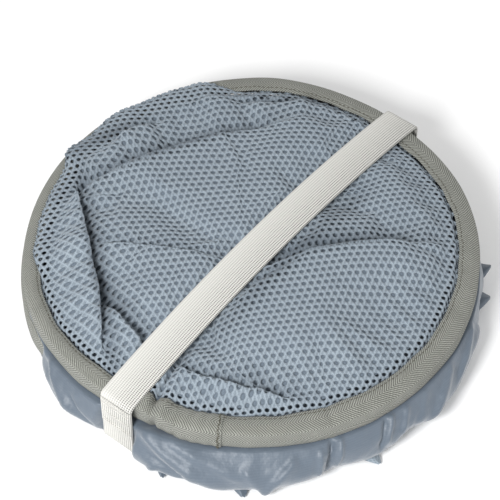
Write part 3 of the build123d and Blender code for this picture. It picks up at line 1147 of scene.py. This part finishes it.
def band_path():
    """The band's centre line seen from its edge: over the crown, down the sides, under the base."""
    over = [(x, band_height(x)) for x in np.linspace(-138, 138, 24)]
    shoulder = TOP + 1.2
    corners = [(0.0, BAND_FLOOR), (BAND_REACH, BAND_FLOOR), (BAND_REACH, shoulder), over[-1]]
    right = rounded_line(corners, BAND_CORNERS)
    corners = [over[0], (-BAND_REACH, shoulder), (-BAND_REACH, BAND_FLOOR), (0.0, BAND_FLOOR)]
    left = rounded_line(corners, BAND_CORNERS[::-1])
    return np.concatenate([right, np.array(over[::-1])[1:-1], left])


def band_piece():
    line = resample(band_path(), 620)[:-1]
    normal = -normals_2d(np.concatenate([line[-1:], line, line[:1]]))[1:-1]
    half = BAND_WIDTH / 2
    ribs = np.linspace(-half, half, 41)
    proud = BAND_THICKNESS / 2 + 0.06 * np.cos(ribs * TAU / BAND_RIBS)
    proud[[0, -1]] = BAND_THICKNESS * 0.28
    side = np.concatenate([ribs, ribs[::-1]])
    lift = np.concatenate([proud, -proud[::-1]])
    along = lengths_along(line)
    a = line[:, None, 0] + normal[:, None, 0] * lift[None, :]
    z = line[:, None, 1] + normal[:, None, 1] * lift[None, :]
    points = on_band(a, side[None, :], z)
    uv = pairs(along[:, None], side[None, :] + half)
    quads = grid_quads(len(line), len(side), wrap_rows=True, wrap_columns=True)
    return new_piece("retaining_band_elastic", points, quads, uv)


def band_lap_piece():
    """The elastic's overlapped end, sewn on the outside of its front-left upright."""
    top, low = TOP - 1.4, TOP - 26.0
    out = BAND_REACH + BAND_THICKNESS / 2
    heights = np.linspace(top, low, 60)
    turned = 0.9 * np.exp(-(((heights - top) / 0.8) ** 2)) + 0.5 * np.exp(-(((heights - low) / 0.8) ** 2))
    ribs = np.linspace(-BAND_WIDTH / 2 + 0.4, BAND_WIDTH / 2 - 0.3, 41)
    proud = 0.85 + 0.07 * np.cos(ribs * TAU / BAND_RIBS)
    proud[[0, -1]] = 0.25
    loop_side = np.concatenate([ribs, ribs[::-1]])
    outside = -out - proud[None, :] + 0.6 * turned[:, None]
    inside = np.full_like(outside, -out + 0.1)
    a = np.concatenate([outside, inside], axis=1)
    points = on_band(a, loop_side[None, :], heights[:, None] + 0 * a)
    uv = pairs(heights[:, None], loop_side[None, :])
    quads = grid_quads(len(heights), len(loop_side), wrap_columns=True)[:, ::-1]
    return new_piece("band_lap_elastic", points, quads, uv)


def band_tack_piece():
    """Rows of stitches that close the band's overlap, and one where it folds over the hoop."""
    rng = np.random.default_rng(9)
    out = BAND_REACH + BAND_THICKNESS / 2 + 0.95
    starts, ends, ups = [], [], []
    for height in (TOP - 2.2, TOP - 6.0, TOP - 14.0, TOP - 22.0, TOP - 24.5):
        side = np.arange(-BAND_WIDTH / 2 + 1.6, BAND_WIDTH / 2 - 1.2, 1.9) + rng.normal(0, 0.05)
        level = height + rng.normal(0, 0.08, len(side))
        starts.append(on_band(-out + 0 * side, side - 0.7, level - 0.15))
        ends.append(on_band(-out + 0 * side, side + 0.7, level + 0.15))
        up = on_band(np.array([-1.0]), np.array([-BAND_ASIDE]), np.array([0.0]))
        ups.append(np.repeat(up, len(side), axis=0))
    paths = (np.concatenate(starts), np.concatenate(ends))
    return thread_run("band_tack_stitches", paths, np.concatenate(ups), 0.45)


# ---------------------------------------------------------------- base mesh and loose seam ends


BASE_MESH_RADIUS = 140.5


def base_place(p, q):
    """The base's mesh lies flat on its binding, a little rumpled."""
    calm = 1.0 - smoothstep(0.8, 0.97, np.hypot(p, q) / BASE_MESH_RADIUS)
    rumple = 0.35 * np.sin(p / 11.0 + np.sin(q / 17.0)) + 0.3 * np.sin(q / 9.0 - p / 23.0)
    return np.stack([p, q, 3.6 + rumple * calm], axis=-1)


def base_mesh_piece():
    points, quads, uv = perforated(base_place, lambda angle: BASE_MESH_RADIUS + 0.0 * angle, 3.0, 6)
    return weld(new_piece("base_mesh_panel", points, quads, uv))


# Each loose seam end: degrees, height, where it starts, length, width, curl, and its material.
SEAM_ENDS = {
    "seam_end_front": (266.0, 5.5, 152.0, 16.0, 22.0, 0.5, "taffeta"),
    "seam_end_front_left": (248.0, 5.0, 152.0, 12.0, 16.0, 0.5, "taffeta"),
    "seam_end_mesh": (298.0, 4.5, 152.0, 12.5, 18.0, 0.4, "mesh"),
    "seam_end_right": (352.0, 12.0, 149.0, 11.5, 26.0, 0.3, "taffeta"),
    "seam_end_right_upper": (359.0, 19.0, 149.0, 11.5, 24.0, -0.2, "taffeta"),
}


def seam_end_piece(name, degrees, height, start, length, width, curl):
    """A loose, pointed end of seam allowance that sticks out from under the wall and curls."""
    rows, columns = 28, 18
    u = np.linspace(0, 1, rows)[:, None]
    v = np.linspace(-1, 1, columns)[None, :]
    bend = curl * u
    step = length / (rows - 1)
    out = np.cumsum(np.cos(bend), axis=0) * step
    up = -np.cumsum(np.sin(bend), axis=0) * step
    taper = 1.0 - 0.9 * u
    angle = math.radians(degrees) + (v * taper + 0.5 * u) * width / 2 / (start + 6.0)
    arch = 1.8 * (1 - v**2) * (0.4 + 0.6 * u) + 0.5 * np.sin(3.0 * v + 4.0 * u) * u
    level = np.maximum(height + up + arch, 0.3)
    points = polar(start + out + 0 * v, angle, level)
    uv = pairs(u * length, v * width / 2)
    return new_piece(name, points, grid_quads(rows, columns)[:, ::-1], uv)


# ---------------------------------------------------------------- stage


FLOOR_REACH = 4000.0
WORLD_STRENGTH = 0.62
LIGHTS = {  # each one's place and size in metres, and its power in watts
    "key": ((-0.5, -0.98, 1.0), 0.4, 21.0),
    "fill": ((0.9, -0.3, 0.9), 1.0, 3.0),
}
CAMERA_ELEVATION = math.radians(51.2)
CAMERA_DISTANCE = 1.379
CAMERA_TARGET = Vector((-0.0016, -0.0047, 0.048))
CAMERA_LENS = 150.0


def add_stage():
    corners = [(x * FLOOR_REACH, y * FLOOR_REACH, 0) for x, y in ((-1, -1), (1, -1), (1, 1), (-1, 1))]
    floor = new_piece("floor", corners, [[0, 1, 2, 3]], smooth=False)
    floor.data.materials.append(floor_material())


def add_area_light(name, place, size, power):
    """A square light that points at the origin."""
    light = bpy.data.lights.new(name, "AREA")
    light.size = size
    light.energy = power
    holder = bpy.data.objects.new(name, light)
    holder.location = place
    holder.rotation_euler = (-Vector(place)).to_track_quat("-Z", "Y").to_euler()
    bpy.context.scene.collection.objects.link(holder)


def add_lights():
    world = bpy.data.worlds.new("studio")
    world.use_nodes = True
    background = world.node_tree.nodes["Background"]
    background.inputs["Color"].default_value = (1.0, 1.0, 1.0, 1.0)
    background.inputs["Strength"].default_value = WORLD_STRENGTH
    bpy.context.scene.world = world
    for name, (place, size, power) in LIGHTS.items():
        add_area_light(name, place, size, power)


def add_camera():
    """Looks down from the front, through a long lens."""
    back = Vector((0.0, -math.cos(CAMERA_ELEVATION), math.sin(CAMERA_ELEVATION)))
    camera = bpy.data.cameras.new("camera")
    camera.lens = CAMERA_LENS
    holder = bpy.data.objects.new("camera", camera)
    holder.location = CAMERA_TARGET + back * CAMERA_DISTANCE
    holder.rotation_euler = (-back).to_track_quat("-Z", "Y").to_euler()
    bpy.context.scene.collection.objects.link(holder)
    bpy.context.scene.camera = holder
    bpy.context.scene.view_settings.view_transform = "Standard"


# ---------------------------------------------------------------- assembly


def dress_cad_nodes(materials):
    """The wires and ferrules stay as the CAD model has them, and get their metals."""
    for name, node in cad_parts.items():
        for ending, kind in (("wire_ferrule", "ferrule"), ("hoop_wire", "steel")):
            if name.endswith(ending):
                node.data.materials.clear()
                node.data.materials.append(materials[kind])


def dress(piece, material, slot, body, *nodes):
    piece.data.materials.append(material)
    if body:
        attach(piece, body)
    if nodes:
        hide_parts(*nodes)
    return piece


BASE_FACE = 1.9  # the base's tape lies clear of the band that passes under it

BINDINGS = {
    "top": ("top_hoop", TOP, TOP_LOW[2], top_tape_shape, 1.0),
    "middle": ("middle_hoop", MIDDLE_HIGH[2], MIDDLE_LOW[2], middle_tape_shape, 0.0),
    "base": ("base", BASE_FACE, BASE_HIGH[2], hidden_tape_shape, 0.0),
}


def add_bindings(materials):
    """Each hoop's tape, the sewn-down end that overlaps it, and its stitches."""
    for name, (body, face, edge, shape, plump) in BINDINGS.items():
        tape = Tape(face, edge, shape, plump)
        ring = tape_band(f"{name}_binding_tape", tape, TAPE_THICKNESS, 0.0, TAU, 0.0, 900)
        weld(ring)
        dress(ring, materials["tape"], "binding_tape", body, f"{name}_binding")
        start, end = [math.radians(TAPE_JOIN_DEGREES + d) for d in (-11.0, 0.6)]
        lap = tape_band(f"{name}_binding_tape_end", tape, 0.75, start, end, 0.85, 60, (0.02, 0.99))
        dress(lap, materials["tape"], "binding_tape", body, f"{name}_binding_lap")
        row = sewn_row(f"{name}_binding_stitches", tape, 2.6, [(TAPE_JOIN_DEGREES - 5.0, 6.0)])
        dress(row, materials["dark_thread"], "thread", body, f"{name}_stitching")
        seam = seam_across(f"{name}_binding_end_seam", tape, TAPE_JOIN_DEGREES - 0.2, 0.95)
        dress(seam, materials["dark_thread"], "thread", body)


def add_base_mesh_and_seam_ends(materials):
    panel = base_mesh_piece()
    dress(panel, materials["mesh"], "air_mesh", "base", "base_mesh")
    for name, (degrees, height, start, length, width, curl, kind) in SEAM_ENDS.items():
        piece = seam_end_piece(name, degrees, height, start, length, width, curl)
        dress(piece, materials[kind], "air_mesh" if kind == "mesh" else kind, "base")


def add_band(materials):
    """The band, its overlapped end and its tack stitches, each with a mesh of its own."""
    pieces = [
        dress(band_piece(), materials["elastic"], "elastic", "band", "retaining_band"),
        dress(band_lap_piece(), materials["elastic"], "elastic", "band", "band_lap"),
        dress(band_tack_piece(), materials["pale_thread"], "thread", "band", "band_bar_tacks"),
    ]
    for piece in pieces:
        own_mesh(piece)


def make_materials():
    return {
        "tape": tape_material(),
        "mesh": hole_mesh_material(),
        "backing": mesh_backing_material(),
        "taffeta": taffeta_material(),
        "elastic": elastic_material(),
        "dark_thread": thread_material("dark_thread", (58, 56, 46), (98, 96, 84)),
        "pale_thread": thread_material("pale_thread", (196, 194, 186), (222, 220, 214)),
        "steel": metal_material("spring_steel", (0.34, 0.34, 0.35, 1), (0.55, 0.55, 0.56, 1), 0.35, 900.0),
        "ferrule": metal_material("crimp_sleeve", (0.55, 0.56, 0.57, 1), (0.75, 0.76, 0.77, 1), 0.4, 500.0),
    }


def add_crown(materials):
    crown, backing = crown_pieces()
    dress(crown, materials["mesh"], "air_mesh", "top_hoop", "crown_mesh")
    dress(backing, materials["backing"], "air_mesh", "top_hoop")


def add_walls(materials):
    """Two tiers of taffeta, each joining a hoop to the one above it."""
    obstacles = hoop_drum()
    lower_pleats = hidden_pleats(MIDDLE_HIGH[2] - 1.8, MIDDLE_LOW[2] - 0.2)
    upper_pleats = hidden_pleats(TOP - 3.2, TOP_LOW[2] - 0.2)
    lower, lower_face = wall_tier(
        "lower_wall_taffeta", lower_outline, lower_pleats, LOWER_BULGE, UPPER_SAG, 31, [], obstacles
    )
    upper, _ = wall_tier(
        "upper_wall_taffeta", upper_outline, upper_pleats, UPPER_BULGE, UPPER_SAG, 41, UPPER_CREASES,
        obstacles + [lower_face],
    )
    dress(upper, materials["taffeta"], "taffeta", None, "upper_wall", "upper_wall_seam")
    dress(lower, materials["taffeta"], "taffeta", None, "lower_wall", "lower_wall_seam")
    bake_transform(upper)
    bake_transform(lower)


def main():
    materials = make_materials()
    add_camera()
    add_lights()
    add_stage()
    dress_cad_nodes(materials)
    add_crown(materials)
    add_bindings(materials)
    add_walls(materials)
    add_base_mesh_and_seam_ends(materials)
    add_band(materials)


main()
